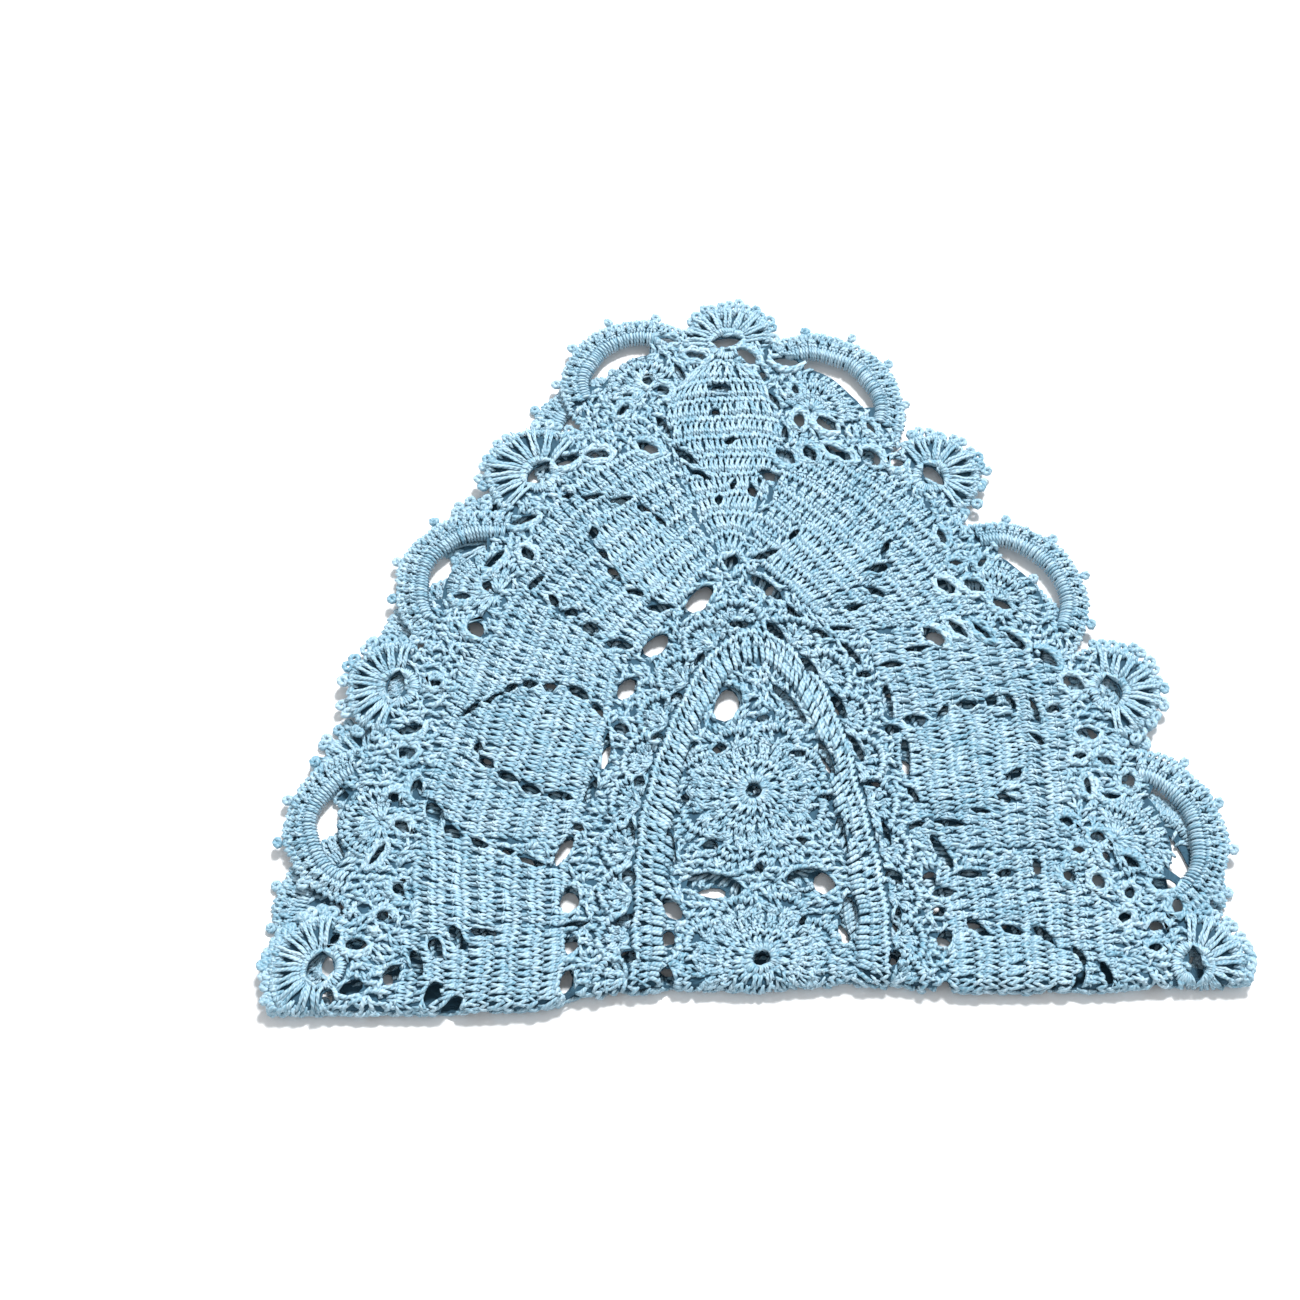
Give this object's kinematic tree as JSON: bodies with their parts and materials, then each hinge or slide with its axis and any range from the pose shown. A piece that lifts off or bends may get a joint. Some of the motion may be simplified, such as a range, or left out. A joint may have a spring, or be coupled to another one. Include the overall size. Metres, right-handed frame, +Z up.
{
  "type": "lace doily",
  "caption": "Oval crocheted lace doily folded once in half, with leaf panels round a pointed-oval middle and a border of fans and padded arcs.",
  "frame": {"origin": "centre of the bounding box at the level of the surface that the folded doily lies on", "axes": "+X along the fold, +Y from the fold towards the free edge, +Z up"},
  "size_m": [0.3182, 0.2814, 0.0073],
  "materials": {
    "cotton_yarn": "matte mercerised cotton yarn, pale dusty blue"
  },
  "bodies": {
    "root": {"doily": "cotton_yarn"}
  },
  "joints": []
}
